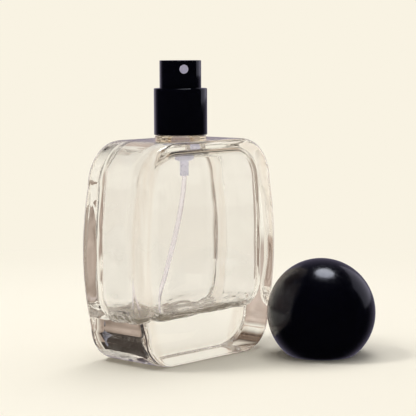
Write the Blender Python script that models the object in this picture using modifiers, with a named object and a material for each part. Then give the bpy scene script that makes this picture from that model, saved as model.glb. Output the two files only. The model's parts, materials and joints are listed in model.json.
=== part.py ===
"""Aftershave spray bottle: thick glass flask, crimped fine-mist pump, black collar, ball cap.

Metres, +Z up. The origin is the centre of the flask's flat base. The flask's broad front face
looks along -Y and its narrow sides along -X and +X. The cap stands beside the flask on the
same surface. The pump stack is turned about the Z axis, from the dip tube up to the actuator.
"""

import math

import bmesh
import bpy
from mathutils import Vector

MM = 0.001
GAP = 0.3 * MM                      # clearance between pieces that touch on the real object
WELD = 0.01 * MM                    # merge distance of every modifier that merges

# Glass flask
FLASK_WIDTH = 70.6 * MM
FLASK_DEPTH = 28.8 * MM
FLASK_HEIGHT = 75.6 * MM
FLASK_BOTTOM_RADIUS = 12.0 * MM
FLASK_TOP_RADIUS = 15.3 * MM
FLASK_BULGE = 7.2 * MM              # how far the sides draw in from mid height to either end
FLASK_CORNER = 3.2 * MM             # its upright corners, seen from above
FLASK_FOOT_EDGE = 1.0 * MM
FLASK_SHOULDER_EDGE = 1.8 * MM
SIDE_WALL = 4.6 * MM                # at mid height
FACE_WALL = 3.4 * MM
BASE_THICKNESS = 15.5 * MM
SHOULDER_THICKNESS = 2.8 * MM
CAVITY_BULGE = 3.0 * MM
CAVITY_BOTTOM_RADIUS = 9.0 * MM
CAVITY_TOP_RADIUS = 13.0 * MM
CAVITY_CORNER = 6.5 * MM
CAVITY_FLOOR_EDGE = 5.0 * MM
CAVITY_ROOF_EDGE = 3.0 * MM

# Glass neck, above the shoulder
NECK_RING_RADIUS = 9.0 * MM
NECK_RING_HEIGHT = 1.3 * MM
NECK_WAIST_RADIUS = 6.4 * MM
NECK_WAIST_HEIGHT = 3.6 * MM
NECK_BEAD_RADIUS = 7.4 * MM
NECK_BEAD_HEIGHT = 4.0 * MM
NECK_BORE_RADIUS = 4.5 * MM
BEAD_CHAMFER = 0.5 * MM

# Pump
GASKET_THICKNESS = 0.8 * MM
FLANGE_THICKNESS = 0.7 * MM
FLANGE_RADIUS = 7.1 * MM
BARREL_RADIUS = 3.35 * MM
BARREL_BORE = 2.6 * MM
BARREL_BOTTOM = 68.0 * MM
SPIGOT_RADIUS = 1.55 * MM
SPIGOT_BORE = 1.2 * MM
SPIGOT_LENGTH = 5.0 * MM
INLET_RADIUS = 0.6 * MM
VALVE_CHAMBER_RADIUS = 1.35 * MM
BALL_RADIUS = 0.95 * MM
STEM_RADIUS = 1.6 * MM
STEM_BORE = 0.9 * MM
TURRET_RADIUS = 4.55 * MM
TURRET_HEIGHT = 3.4 * MM
FERRULE_RADIUS = 8.3 * MM
FERRULE_WALL = 0.35 * MM
SPRING_WIRE = 0.5 * MM
SPRING_RADIUS = 2.0 * MM
SPRING_TURNS = 5.0
PRESS_TRAVEL = 4.0 * MM

# Dip tube: how far it leans by its lower end, and how quickly the lean grows
TUBE_RADIUS = 0.9 * MM
TUBE_LEAN = 16.4 * MM
TUBE_LEAN_POWER = 1.5
TUBE_END_CLEARANCE = 1.1 * MM

# Collar cover and actuator
COLLAR_RADIUS = 9.25 * MM
COLLAR_HEIGHT = 16.1 * MM
COLLAR_WALL = 0.65 * MM
COLLAR_TOP = 0.9 * MM
ACTUATOR_RADIUS = 7.22 * MM
ACTUATOR_TOP = 102.9 * MM
ACTUATOR_SHOWN = 9.7 * MM           # height of the actuator that stands above the collar
ACTUATOR_WALL = 1.0 * MM
DISH_DEPTH = 0.35 * MM
NOZZLE_DROP = 2.95 * MM             # nozzle centre below the actuator's top
NOZZLE_RADIUS = 1.5 * MM
NOZZLE_TURN = math.radians(-36.5)   # the nozzle's heading, turned from straight ahead

# Ball cap
BALL_CAP_RADIUS = 18.95 * MM
BALL_CAP_CENTRE = 14.93 * MM        # height of the ball's centre above its flat open base
BALL_CAP_WALL = 2.2 * MM
CAP_PLACE = Vector((31.7 * MM, -37.3 * MM, 0.0))
LINER_WALL = 0.7 * MM
LINER_BORE = 9.5 * MM

TURN_STEPS = 40                     # facets round the larger turned pieces
SMALL_STEPS = 24                    # facets round the small pump pieces

# Heights that follow from the sizes above
CAVITY_TOP = FLASK_HEIGHT - SHOULDER_THICKNESS
RING_TOP = FLASK_HEIGHT + NECK_RING_HEIGHT
BEAD_BOTTOM = RING_TOP + NECK_WAIST_HEIGHT
NECK_TOP = BEAD_BOTTOM + NECK_BEAD_HEIGHT
GASKET_BOTTOM = NECK_TOP + GAP
FLANGE_BOTTOM = GASKET_BOTTOM + GASKET_THICKNESS + GAP
FLANGE_TOP = FLANGE_BOTTOM + FLANGE_THICKNESS
TURRET_BOTTOM = FLANGE_TOP + GAP
TURRET_FLANGE_TOP = TURRET_BOTTOM + 0.55 * MM
TURRET_TOP = TURRET_BOTTOM + TURRET_HEIGHT
FERRULE_PLATE = TURRET_FLANGE_TOP + GAP
FERRULE_TOP = FERRULE_PLATE + FERRULE_WALL
FERRULE_BOTTOM = BEAD_BOTTOM - 1.0 * MM
COLLAR_BOTTOM = RING_TOP + GAP
COLLAR_RIM = COLLAR_BOTTOM + COLLAR_HEIGHT
SKIRT_BOTTOM = FERRULE_TOP + GAP + PRESS_TRAVEL
NOZZLE_HEIGHT = ACTUATOR_TOP - NOZZLE_DROP
SPRING_SEAT = BARREL_BOTTOM + 4.4 * MM
POPPET_BOTTOM = SPRING_SEAT + 7.5 * MM
PISTON_BOTTOM = POPPET_BOTTOM + 1.0 * MM
STEM_TOP = 98.0 * MM


def clear_scene():
    for obj in list(bpy.data.objects):
        bpy.data.objects.remove(obj, do_unlink=True)


def new_collection(name):
    collection = bpy.data.collections.new(name)
    bpy.context.scene.collection.children.link(collection)
    return collection


def add_object(name, mesh, collection):
    obj = bpy.data.objects.new(name, mesh)
    collection.objects.link(obj)
    return obj


def add_empty(name, location, turn=0.0):
    empty = add_object(name, None, parts)
    empty.location = location
    empty.rotation_euler = (0.0, 0.0, turn)
    return empty


def set_material(obj, color, roughness, metallic=0.0, transmission=0.0):
    """Give the object its own Principled BSDF."""
    material = bpy.data.materials.new(obj.name)
    material.use_nodes = True
    shader = material.node_tree.nodes["Principled BSDF"]
    shader.inputs["Base Color"].default_value = (*color, 1.0)
    shader.inputs["Roughness"].default_value = roughness
    shader.inputs["Metallic"].default_value = metallic
    shader.inputs["Transmission Weight"].default_value = transmission
    obj.data.materials.append(material)


def arc(centre, radius, start, end, steps):
    """Points along an arc in a plane, angles in degrees, both ends included."""
    points = []
    for step in range(steps + 1):
        angle = math.radians(start + (end - start) * step / steps)
        points.append((centre[0] + radius * math.cos(angle), centre[1] + radius * math.sin(angle)))
    return points


def turned(name, profile, collection, closed=True, steps=TURN_STEPS):
    """Turn a profile of (radius, height) points about Z.

    A closed profile goes round its section with the outer side running downwards. An open
    one starts on the axis at the top and ends on the axis at the bottom.
    """
    mesh = bpy.data.meshes.new(name)
    count = len(profile)
    edges = [(i, i + 1) for i in range(count - 1)]
    if closed:
        edges.append((count - 1, 0))
    mesh.from_pydata([(radius, 0.0, height) for radius, height in profile], edges, [])
    obj = add_object(name, mesh, collection)
    screw = obj.modifiers.new("turn", 'SCREW')
    screw.axis = 'Z'
    screw.steps = steps
    screw.render_steps = steps
    screw.use_merge_vertices = True
    screw.merge_threshold = WELD
    return obj


def shade(obj, angle=35.0):
    """Shade the evaluated surface smooth, with sharp edges kept."""
    for polygon in obj.data.polygons:
        polygon.use_smooth = True
    obj.data.set_sharp_from_angle(angle=math.radians(angle))


def rounded_end(distance, radius):
    """How far a rounded form has drawn in, at a distance from its end."""
    rest = max(radius - distance, 0.0)
    return radius - math.sqrt(radius * radius - rest * rest)


def rounded_ring(half_width, half_depth, corner, height):
    """A rounded rectangle seen from above, as points at one height."""
    ring = []
    for side_x, side_y, start in ((1, -1, -90.0), (1, 1, 0.0), (-1, 1, 90.0), (-1, -1, 180.0)):
        centre = (side_x * (half_width - corner), side_y * (half_depth - corner))
        ring += arc(centre, corner, start, start + 90.0, 5)
    return [(x, y, height) for x, y in ring]


def section_heights(bottom, top, low_radii, high_radii):
    """Heights of a block's sections, close together where its ends are round."""
    steps = 5
    heights = set()
    for step in range(steps + 1):
        share = 1.0 - math.cos(math.radians(90.0) * step / steps)
        heights.update(bottom + radius * share for radius in low_radii)
        heights.update(top - radius * share for radius in high_radii)
    low = bottom + max(low_radii)
    high = top - max(high_radii)
    heights.update(low + (high - low) * step / steps for step in range(1, steps))
    return sorted(heights)


def soft_block(name, half_width, half_depth, bulge, ends, radii, edges, corner, collection):
    """A block with bulging sides: an oblong with soft corners in plan, round at both ends.

    ends are the heights of its bottom and top, radii those of its four corners seen from the
    front, and edges those of the front and back face's edges, bottom first each time.
    """
    bottom, top = ends
    middle = FLASK_HEIGHT / 2
    form = bmesh.new()
    rows = []
    for height in section_heights(bottom, top, (radii[0], edges[0]), (radii[1], edges[1])):
        beside = min(max(height, bottom + radii[0]), top - radii[1])
        width = half_width - bulge * ((beside - middle) / middle) ** 2
        width -= rounded_end(height - bottom, radii[0]) + rounded_end(top - height, radii[1])
        shrink = rounded_end(height - bottom, edges[0]) + rounded_end(top - height, edges[1])
        ring = rounded_ring(width, half_depth - shrink, corner - shrink, height)
        rows.append([form.verts.new(point) for point in ring])
    for lower, upper in zip(rows, rows[1:]):
        for i in range(len(lower)):
            j = (i + 1) % len(lower)
            form.faces.new((lower[i], lower[j], upper[j], upper[i]))
    form.faces.new(rows[0])
    form.faces.new(rows[-1])
    bmesh.ops.recalc_face_normals(form, faces=form.faces)
    mesh = bpy.data.meshes.new(name)
    form.to_mesh(mesh)
    form.free()
    return add_object(name, mesh, collection)


def boolean(target, tool, operation):
    modifier = target.modifiers.new(operation.lower(), 'BOOLEAN')
    modifier.operation = operation
    modifier.object = tool
    modifier.solver = 'EXACT'


def hide_tool(tool):
    tool.hide_render = True
    tool.display_type = 'WIRE'
    return tool


def turned_tool(name, profile, closed=True, steps=TURN_STEPS):
    return hide_tool(turned(name, profile, tools, closed, steps))


def rod_tool(name, radius, low, high, steps=SMALL_STEPS):
    """A plain cylinder along Z, for a bore."""
    return turned_tool(name, [(0.0, high), (radius, high), (radius, low), (0.0, low)], False, steps)


def tube(name, points, radius):
    """A round rod along a list of points."""
    curve = bpy.data.curves.new(name, 'CURVE')
    curve.dimensions = '3D'
    curve.bevel_depth = radius
    curve.bevel_resolution = 2
    curve.use_fill_caps = True
    spline = curve.splines.new('POLY')
    spline.points.add(len(points) - 1)
    for point, place in zip(spline.points, points):
        point.co = (*place, 1.0)
    return add_object(name, curve, parts)


def make_glass_bottle():
    half_width = FLASK_WIDTH / 2
    half_depth = FLASK_DEPTH / 2
    flask = soft_block(
        "glass_bottle", half_width, half_depth, FLASK_BULGE, (0.0, FLASK_HEIGHT),
        (FLASK_BOTTOM_RADIUS, FLASK_TOP_RADIUS), (FLASK_FOOT_EDGE, FLASK_SHOULDER_EDGE),
        FLASK_CORNER, parts)

    neck = turned_tool("neck_form", [
        (0.0, NECK_TOP),
        (NECK_BEAD_RADIUS - BEAD_CHAMFER, NECK_TOP),
        (NECK_BEAD_RADIUS, NECK_TOP - BEAD_CHAMFER),
        (NECK_BEAD_RADIUS, BEAD_BOTTOM + BEAD_CHAMFER),
        (NECK_WAIST_RADIUS, BEAD_BOTTOM),
        (NECK_WAIST_RADIUS, RING_TOP),
        (NECK_RING_RADIUS - BEAD_CHAMFER, RING_TOP),
        (NECK_RING_RADIUS, RING_TOP - BEAD_CHAMFER),
        (NECK_RING_RADIUS, FLASK_HEIGHT - 1.0 * MM),
        (0.0, FLASK_HEIGHT - 1.0 * MM),
    ], closed=False)
    cavity = hide_tool(soft_block(
        "cavity_form", half_width - SIDE_WALL, half_depth - FACE_WALL, CAVITY_BULGE,
        (BASE_THICKNESS, CAVITY_TOP), (CAVITY_BOTTOM_RADIUS, CAVITY_TOP_RADIUS),
        (CAVITY_FLOOR_EDGE, CAVITY_ROOF_EDGE), CAVITY_CORNER, tools))
    bore = rod_tool("neck_bore_form", NECK_BORE_RADIUS, CAVITY_TOP - 1.0 * MM, NECK_TOP + 1.0 * MM,
                    TURN_STEPS)

    boolean(flask, neck, 'UNION')
    boolean(flask, cavity, 'DIFFERENCE')
    boolean(flask, bore, 'DIFFERENCE')
    shade(flask)
    set_material(flask, (0.93, 0.91, 0.86), 0.02, transmission=1.0)


def make_neck_gasket():
    top = GASKET_BOTTOM + GASKET_THICKNESS
    gasket = turned("neck_gasket", [
        (4.8 * MM, top), (7.2 * MM, top), (7.2 * MM, GASKET_BOTTOM), (4.8 * MM, GASKET_BOTTOM),
    ], parts)
    set_material(gasket, (0.82, 0.82, 0.80), 0.6)


def make_crimp_ferrule():
    """Thin aluminium cup whose lower edge is rolled in under the neck's bead."""
    inner = FERRULE_RADIUS - FERRULE_WALL
    hole = TURRET_RADIUS + GAP
    lip = NECK_WAIST_RADIUS + 0.35 * MM
    bend = 0.4 * MM
    ferrule = turned("crimp_ferrule", [
        (hole, FERRULE_TOP),
        (FERRULE_RADIUS - bend, FERRULE_TOP),
        (FERRULE_RADIUS, FERRULE_TOP - bend),
        (FERRULE_RADIUS, FERRULE_BOTTOM + 0.7 * MM),
        (FERRULE_RADIUS - 0.6 * MM, FERRULE_BOTTOM),
        (lip, FERRULE_BOTTOM),
        (lip, FERRULE_BOTTOM + FERRULE_WALL),
        (inner - 0.45 * MM, FERRULE_BOTTOM + FERRULE_WALL),
        (inner, FERRULE_BOTTOM + 0.9 * MM),
        (inner, FERRULE_PLATE - 0.15 * MM),
        (inner - 0.15 * MM, FERRULE_PLATE),
        (hole, FERRULE_PLATE),
    ], parts)
    set_material(ferrule, (0.75, 0.76, 0.78), 0.3, metallic=1.0)


def make_pump_housing():
    """Pump body: flange on the neck, cylinder, inlet valve seat, and spigot for the dip tube."""
    spigot_end = BARREL_BOTTOM - SPIGOT_LENGTH
    housing = turned("pump_housing", [
        (BARREL_BORE, FLANGE_TOP),
        (FLANGE_RADIUS, FLANGE_TOP),
        (FLANGE_RADIUS, FLANGE_BOTTOM),
        (4.0 * MM, FLANGE_BOTTOM),
        (4.0 * MM, FLANGE_BOTTOM - 1.9 * MM),
        (BARREL_RADIUS, FLANGE_BOTTOM - 2.7 * MM),
        (BARREL_RADIUS, BARREL_BOTTOM + 1.2 * MM),
        (BARREL_RADIUS - 0.35 * MM, BARREL_BOTTOM + 0.5 * MM),
        (SPIGOT_RADIUS, BARREL_BOTTOM),
        (SPIGOT_RADIUS, spigot_end),
        (SPIGOT_BORE, spigot_end),
        (SPIGOT_BORE, BARREL_BOTTOM - 0.8 * MM),
        (INLET_RADIUS, BARREL_BOTTOM - 0.3 * MM),
        (INLET_RADIUS, BARREL_BOTTOM + 1.0 * MM),
        (VALVE_CHAMBER_RADIUS, BARREL_BOTTOM + 1.9 * MM),
        (VALVE_CHAMBER_RADIUS, SPRING_SEAT),
        (BARREL_BORE, SPRING_SEAT),
    ], parts, steps=SMALL_STEPS)
    set_material(housing, (0.86, 0.86, 0.87), 0.35, transmission=0.4)


def make_turret():
    """Closing ring that guides the stem and holds the stem gasket down."""
    bore = STEM_RADIUS + 0.35 * MM
    recess = 4.0 * MM
    ceiling = TURRET_BOTTOM + 1.5 * MM
    turret = turned("turret", [
        (bore, TURRET_TOP),
        (TURRET_RADIUS - 0.3 * MM, TURRET_TOP),
        (TURRET_RADIUS, TURRET_TOP - 0.3 * MM),
        (TURRET_RADIUS, TURRET_FLANGE_TOP),
        (6.4 * MM, TURRET_FLANGE_TOP),
        (6.4 * MM, TURRET_BOTTOM),
        (recess, TURRET_BOTTOM),
        (recess, ceiling),
        (bore, ceiling),
    ], parts, steps=SMALL_STEPS)
    set_material(turret, (0.85, 0.85, 0.84), 0.4)


def make_stem_gasket():
    top = TURRET_BOTTOM + 1.2 * MM
    bottom = top - 0.9 * MM
    gasket = turned("stem_gasket", [
        (STEM_RADIUS + GAP, top), (3.7 * MM, top), (3.7 * MM, bottom), (STEM_RADIUS + GAP, bottom),
    ], parts, steps=SMALL_STEPS)
    set_material(gasket, (0.12, 0.12, 0.12), 0.7)


def make_inlet_ball():
    """Ball valve at the foot of the pump. It lifts off its cone on each suction stroke."""
    mesh = bpy.data.meshes.new("inlet_ball")
    form = bmesh.new()
    bmesh.ops.create_uvsphere(form, u_segments=14, v_segments=9, radius=BALL_RADIUS)
    form.to_mesh(mesh)
    form.free()
    ball = add_object("inlet_ball", mesh, parts)
    ball.location = (0.0, 0.0, BARREL_BOTTOM + 2.1 * MM)
    shade(ball, 60.0)
    set_material(ball, (0.7, 0.7, 0.72), 0.15, metallic=1.0)


def make_return_spring():
    """Compression spring with a closed turn at each end."""
    low = SPRING_SEAT + GAP + SPRING_WIRE / 2
    high = POPPET_BOTTOM - GAP - SPRING_WIRE / 2
    per_turn = 10
    count = int(SPRING_TURNS * per_turn)
    closed_rise = SPRING_WIRE * 1.05
    points = []
    for step in range(count + 1):
        turn = step / per_turn
        if turn <= 1.0:
            height = low + closed_rise * turn
        elif turn >= SPRING_TURNS - 1.0:
            height = high - closed_rise * (SPRING_TURNS - turn)
        else:
            share = (turn - 1.0) / (SPRING_TURNS - 2.0)
            height = low + closed_rise + (high - low - 2.0 * closed_rise) * share
        angle = 2.0 * math.pi * turn
        points.append((SPRING_RADIUS * math.cos(angle), SPRING_RADIUS * math.sin(angle), height))
    spring = tube("return_spring", points, SPRING_WIRE / 2)
    set_material(spring, (0.62, 0.62, 0.64), 0.25, metallic=1.0)


def make_poppet():
    """Disc that the spring pushes up, with a pin that reaches into the stem."""
    disc_top = POPPET_BOTTOM + 0.6 * MM
    poppet = turned("poppet", [
        (0.0, POPPET_BOTTOM + 3.1 * MM),
        (0.55 * MM, POPPET_BOTTOM + 3.1 * MM),
        (0.55 * MM, disc_top),
        (2.2 * MM, disc_top),
        (2.2 * MM, POPPET_BOTTOM),
        (0.0, POPPET_BOTTOM),
    ], parts, closed=False, steps=SMALL_STEPS)
    set_material(poppet, (0.88, 0.88, 0.88), 0.4)
    return poppet


def make_piston():
    """Sleeve on the foot of the stem, with a sealing lip at each end."""
    bore = STEM_RADIUS + GAP
    lip = BARREL_BORE - 0.25 * MM
    waist = lip - 0.2 * MM
    top = PISTON_BOTTOM + 3.6 * MM
    piston = turned("piston", [
        (bore, top), (lip, top), (waist, top - 0.9 * MM), (waist, PISTON_BOTTOM + 0.9 * MM),
        (lip, PISTON_BOTTOM), (bore, PISTON_BOTTOM),
    ], parts, steps=SMALL_STEPS)
    set_material(piston, (0.90, 0.90, 0.91), 0.45)
    return piston


def make_stem():
    """Hollow stem. Its shoulder stops against the stem gasket."""
    shoulder_radius = BARREL_BORE - GAP
    shoulder_top = TURRET_BOTTOM - 0.2 * MM
    shoulder_bottom = shoulder_top - 0.8 * MM
    stem = turned("stem", [
        (STEM_BORE, STEM_TOP),
        (STEM_RADIUS, STEM_TOP),
        (STEM_RADIUS, shoulder_top),
        (shoulder_radius, shoulder_top),
        (shoulder_radius, shoulder_bottom),
        (STEM_RADIUS, shoulder_bottom),
        (STEM_RADIUS, PISTON_BOTTOM),
        (STEM_BORE, PISTON_BOTTOM),
    ], parts, steps=SMALL_STEPS)
    set_material(stem, (0.87, 0.87, 0.88), 0.35)
    return stem


def make_dip_tube():
    """Soft tube that bends towards one lower corner of the cavity."""
    top = BARREL_BOTTOM - 1.1 * MM
    bend_start = BARREL_BOTTOM - SPIGOT_LENGTH - 0.5 * MM
    bottom = BASE_THICKNESS + TUBE_END_CLEARANCE
    steps = 20
    points = [(0.0, 0.0, top), (0.0, 0.0, (top + bend_start) / 2)]
    for step in range(steps + 1):
        share = step / steps
        lean = TUBE_LEAN * share ** TUBE_LEAN_POWER
        points.append((-lean, 0.0, bend_start + (bottom - bend_start) * share))
    dip_tube = tube("dip_tube", points, TUBE_RADIUS)
    set_material(dip_tube, (0.72, 0.69, 0.76), 0.3, transmission=0.3)


def make_collar_cover():
    inner = COLLAR_RADIUS - COLLAR_WALL
    opening = ACTUATOR_RADIUS + GAP
    edge = 0.35 * MM
    collar = turned("collar_cover", [
        (opening, COLLAR_RIM),
        (COLLAR_RADIUS - edge, COLLAR_RIM),
        (COLLAR_RADIUS, COLLAR_RIM - edge),
        (COLLAR_RADIUS, COLLAR_BOTTOM),
        (inner, COLLAR_BOTTOM),
        (inner, COLLAR_RIM - COLLAR_TOP),
        (opening, COLLAR_RIM - COLLAR_TOP),
    ], parts)
    set_material(collar, (0.008, 0.008, 0.012), 0.08)


def make_actuator_shell(axis):
    """Finger button: a turned cup with a dished top and a side hole for the nozzle."""
    inner = ACTUATOR_RADIUS - ACTUATOR_WALL
    edge = 0.35 * MM
    ceiling = ACTUATOR_TOP - 1.15 * MM
    shell = turned("actuator_shell", [
        (0.0, ACTUATOR_TOP - DISH_DEPTH),
        (ACTUATOR_RADIUS * 0.5, ACTUATOR_TOP - DISH_DEPTH * 0.75),
        (ACTUATOR_RADIUS - 2.0 * edge, ACTUATOR_TOP),
        (ACTUATOR_RADIUS - edge * 0.8, ACTUATOR_TOP),
        (ACTUATOR_RADIUS, ACTUATOR_TOP - edge),
        (ACTUATOR_RADIUS, SKIRT_BOTTOM),
        (inner, SKIRT_BOTTOM),
        (inner, ceiling),
        (0.0, ceiling),
    ], parts, closed=False)
    hole = rod_tool("nozzle_hole_form", NOZZLE_RADIUS + GAP, 4.0 * MM, 9.0 * MM)
    hole.rotation_euler = (math.radians(90.0), 0.0, 0.0)
    hole.location = (0.0, 0.0, NOZZLE_HEIGHT)
    hole.parent = axis
    boolean(shell, hole, 'DIFFERENCE')
    shell.parent = axis
    shade(shell)
    set_material(shell, (0.008, 0.008, 0.012), 0.1)


def make_actuator_core(axis):
    """Socket that grips the stem, with the channel from the stem to the nozzle."""
    top = ACTUATOR_TOP - 1.15 * MM - GAP
    bottom = TURRET_TOP + PRESS_TRAVEL + 0.5 * MM
    socket = STEM_RADIUS + GAP
    boss_radius = 1.3 * MM
    channel = 0.45 * MM
    boss_end = ACTUATOR_RADIUS - ACTUATOR_WALL - 0.6 * MM
    core = turned("actuator_core", [
        (0.0, top), (2.9 * MM, top), (2.9 * MM, bottom), (socket, bottom),
        (socket, STEM_TOP + GAP), (0.0, STEM_TOP + GAP),
    ], parts, closed=False, steps=SMALL_STEPS)
    boss = rod_tool("nozzle_boss_form", boss_radius, 2.0 * MM, boss_end, 16)
    side_channel = rod_tool("side_channel_form", channel, -0.2 * MM, boss_end + 1.0 * MM, 10)
    up_channel = rod_tool("up_channel_form", channel, STEM_TOP - 1.0 * MM, NOZZLE_HEIGHT, 10)
    for form in (boss, side_channel):
        form.rotation_euler = (math.radians(90.0), 0.0, 0.0)
        form.location = (0.0, 0.0, NOZZLE_HEIGHT)
    for form in (boss, side_channel, up_channel):
        form.parent = axis
    boolean(core, boss, 'UNION')
    boolean(core, side_channel, 'DIFFERENCE')
    boolean(core, up_channel, 'DIFFERENCE')
    core.parent = axis
    set_material(core, (0.82, 0.82, 0.83), 0.4)


def make_nozzle_insert(axis):
    """Spray disc pressed into the side of the actuator, with a fine hole at its centre."""
    face = ACTUATOR_RADIUS - 0.07 * MM
    back = ACTUATOR_RADIUS - ACTUATOR_WALL - 0.3 * MM
    hole = 0.2 * MM
    dish = 1.0 * MM
    insert = turned("nozzle_insert", [
        (hole, face - 0.2 * MM),
        (dish - 0.1 * MM, face - 0.2 * MM),
        (dish, face),
        (NOZZLE_RADIUS, face),
        (NOZZLE_RADIUS, back),
        (hole, back),
    ], parts, steps=SMALL_STEPS)
    insert.rotation_euler = (math.radians(90.0), 0.0, 0.0)
    insert.location = (0.0, 0.0, NOZZLE_HEIGHT)
    insert.parent = axis
    set_material(insert, (0.43, 0.43, 0.55), 0.35)


def make_cap_shell(place):
    """Hollow black ball, cut flat at its open base."""
    opening = LINER_BORE + LINER_WALL + GAP
    base_angle = math.degrees(math.asin(-BALL_CAP_CENTRE / BALL_CAP_RADIUS))
    outside = arc((0.0, BALL_CAP_CENTRE), BALL_CAP_RADIUS, 90.0, base_angle, 16)
    hollow_radius = BALL_CAP_RADIUS - BALL_CAP_WALL
    step_height = 2.2 * MM
    low_angle = math.degrees(math.asin((step_height - BALL_CAP_CENTRE) / hollow_radius))
    top_bore = 8.8 * MM
    high_angle = math.degrees(math.acos(top_bore / hollow_radius))
    inside = arc((0.0, BALL_CAP_CENTRE), hollow_radius, low_angle, high_angle, 10)
    ceiling = 30.3 * MM
    profile = [(0.0, outside[0][1])] + outside[1:]
    profile += [(opening, 0.0), (opening, step_height)] + inside
    profile += [(top_bore, ceiling), (0.0, ceiling)]
    shell = turned("cap_shell", profile, parts, closed=False)
    shell.parent = place
    set_material(shell, (0.006, 0.006, 0.008), 0.05)


def make_cap_liner(place):
    """Stepped inner sleeve: the wide part grips the collar, the narrow part clears the button."""
    top_bore = 7.8 * MM
    step = 19.5 * MM
    ceiling = 29.3 * MM
    top = ceiling + LINER_WALL
    outer = LINER_BORE + LINER_WALL
    liner = turned("cap_liner", [
        (0.0, top),
        (top_bore + LINER_WALL, top),
        (top_bore + LINER_WALL, step + LINER_WALL),
        (outer, step + LINER_WALL),
        (outer, GAP),
        (LINER_BORE, GAP),
        (LINER_BORE, step),
        (top_bore, step),
        (top_bore, ceiling),
        (0.0, ceiling),
    ], parts, closed=False)
    liner.parent = place
    set_material(liner, (0.05, 0.05, 0.06), 0.45)


clear_scene()
parts = new_collection("aftershave_bottle")
tools = new_collection("forms")

press_axis = add_empty("press_axis", (0.0, 0.0, 0.0))
spray_axis = add_empty("spray_axis", (0.0, 0.0, 0.0), NOZZLE_TURN)
cap_place = add_empty("cap_place", CAP_PLACE)

make_glass_bottle()
make_neck_gasket()
make_crimp_ferrule()
make_pump_housing()
make_turret()
make_stem_gasket()
make_inlet_ball()
make_return_spring()
make_dip_tube()
make_collar_cover()
for piece in (make_poppet(), make_piston(), make_stem()):
    piece.parent = press_axis
make_actuator_core(spray_axis)
make_actuator_shell(spray_axis)
make_nozzle_insert(spray_axis)
make_cap_shell(cap_place)
make_cap_liner(cap_place)
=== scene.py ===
"""Looks of the aftershave spray bottle: smooth glass, gloss plastics, studio, camera.

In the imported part's frame, in metres: the flask's base is centred on the origin, +Z is up and
the broad front face looks along -Y.
"""

import json
import math

import bmesh
import bpy
from mathutils import Matrix, Vector
from mathutils.noise import noise_vector, seed_set

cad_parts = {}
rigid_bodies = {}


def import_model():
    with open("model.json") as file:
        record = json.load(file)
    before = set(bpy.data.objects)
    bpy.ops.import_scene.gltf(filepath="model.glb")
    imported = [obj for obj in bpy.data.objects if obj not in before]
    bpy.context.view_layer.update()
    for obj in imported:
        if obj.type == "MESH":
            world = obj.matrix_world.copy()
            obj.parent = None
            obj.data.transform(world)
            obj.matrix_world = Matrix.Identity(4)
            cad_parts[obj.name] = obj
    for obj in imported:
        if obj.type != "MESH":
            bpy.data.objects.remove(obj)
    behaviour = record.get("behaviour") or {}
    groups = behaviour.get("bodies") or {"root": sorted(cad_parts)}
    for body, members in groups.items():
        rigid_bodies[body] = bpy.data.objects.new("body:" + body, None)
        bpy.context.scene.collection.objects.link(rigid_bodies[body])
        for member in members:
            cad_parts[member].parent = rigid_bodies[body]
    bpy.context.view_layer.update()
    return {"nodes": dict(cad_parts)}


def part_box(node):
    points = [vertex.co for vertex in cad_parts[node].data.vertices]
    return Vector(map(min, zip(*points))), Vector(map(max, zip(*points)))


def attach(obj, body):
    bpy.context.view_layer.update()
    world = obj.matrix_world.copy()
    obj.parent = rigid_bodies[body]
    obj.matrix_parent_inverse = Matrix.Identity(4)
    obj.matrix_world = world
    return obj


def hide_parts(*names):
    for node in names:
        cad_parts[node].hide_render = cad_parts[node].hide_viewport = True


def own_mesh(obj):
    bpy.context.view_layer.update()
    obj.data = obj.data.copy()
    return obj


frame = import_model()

MM = 0.001

# Sizes that the frame's boxes don't give, as in the CAD model
FLASK_HEIGHT = 75.6 * MM
FLASK_BULGE = 7.2 * MM
FLASK_BOTTOM_RADIUS = 12.0 * MM
FLASK_TOP_RADIUS = 15.3 * MM
FLASK_CORNER = 3.2 * MM             # its upright corners, seen from above
FLASK_FOOT_EDGE = 1.0 * MM
FLASK_SHOULDER_EDGE = 1.8 * MM
SIDE_WALL = 4.6 * MM
FACE_WALL = 3.4 * MM
BASE_THICKNESS = 15.5 * MM
SHOULDER_THICKNESS = 2.8 * MM
CAVITY_BULGE = 3.0 * MM
CAVITY_BOTTOM_RADIUS = 9.0 * MM
CAVITY_TOP_RADIUS = 13.0 * MM
CAVITY_CORNER = 6.5 * MM
CAVITY_FLOOR_EDGE = 5.0 * MM
CAVITY_ROOF_EDGE = 3.0 * MM
CAVITY_RIPPLE = 0.8 * MM            # how uneven its floor is
RIPPLED_HEIGHT = 6.0 * MM
RIPPLES_PER_METRE = 400.0
RIPPLE_SEED = 4                     # any but 0, which would differ from run to run
NECK_RING_RADIUS = 9.0 * MM
NECK_RING_TOP = FLASK_HEIGHT + 1.3 * MM
NECK_WAIST_RADIUS = 6.4 * MM
NECK_BEAD_BOTTOM = NECK_RING_TOP + 3.6 * MM
NECK_BEAD_RADIUS = 7.4 * MM
NECK_BORE_RADIUS = 4.5 * MM
NOZZLE_TURN = math.radians(-36.5)
NOZZLE_RADIUS = 1.5 * MM
CAP_BALL_RADIUS = 18.95 * MM
CAP_BALL_CENTRE = 14.93 * MM        # above the floor

# Camera, as far from the flask and as high as it stands in the photograph
CAMERA_AZIMUTH = math.radians(-46.5)
CAMERA_DISTANCE = 0.550
CAMERA_HEIGHT = 0.1075
CAMERA_AIM_RIGHT = 0.0094
CAMERA_AIM_HEIGHT = 0.0515
CAMERA_ROLL = math.radians(-0.22)
CAMERA_LENS = 137.0

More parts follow.
